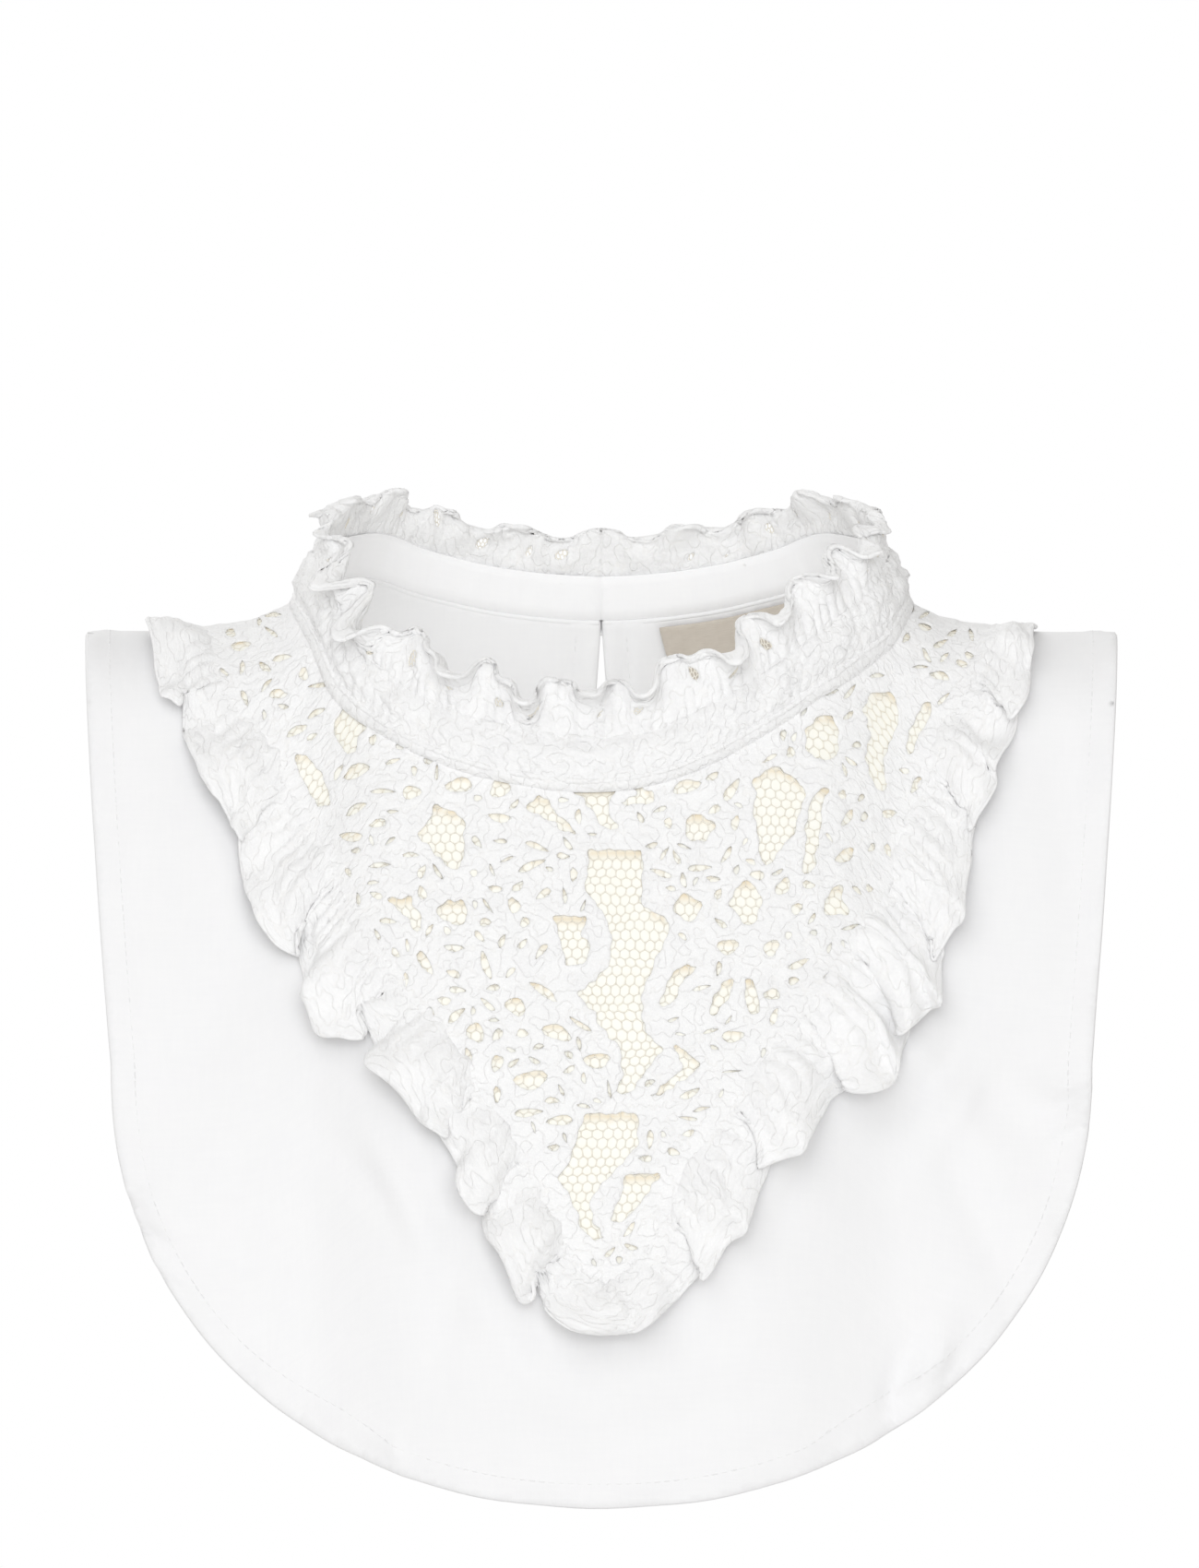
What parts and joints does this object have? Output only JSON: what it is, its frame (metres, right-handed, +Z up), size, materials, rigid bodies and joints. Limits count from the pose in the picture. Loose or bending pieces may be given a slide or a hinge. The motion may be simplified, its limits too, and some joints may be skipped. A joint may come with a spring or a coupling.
{
  "type": "detachable collar",
  "caption": "Detachable bib collar in white poplin with a lace yoke, a gathered lace frill round the V and a frilled stand collar, open at the neck, sides and hem.",
  "frame": {"origin": "on the axis of the wearer's neck, level with the points where the neck seam meets the shoulders", "axes": "+Z up along the neck, -Y the way the wearer faces, +X towards the wearer's left"},
  "size_m": [0.269, 0.1894, 0.2647],
  "materials": {
    "poplin": "plain woven cotton, matte",
    "voile": "sheer cream cloth, matte",
    "lace": "cotton lace, matte",
    "satin": "woven label, slight sheen",
    "shell": "satin",
    "thread": "sewing thread"
  },
  "bodies": {
    "root": {"front_bib": "poplin", "back_bib_left": "poplin", "back_bib_right": "poplin", "yoke_lining": "voile", "yoke_lace": "lace", "v_frill": "lace", "collar_band": "lace", "collar_facing": "poplin", "neck_frill": "lace", "neck_label": "satin", "back_button": "shell", "thread_loop": "thread"}
  },
  "joints": []
}
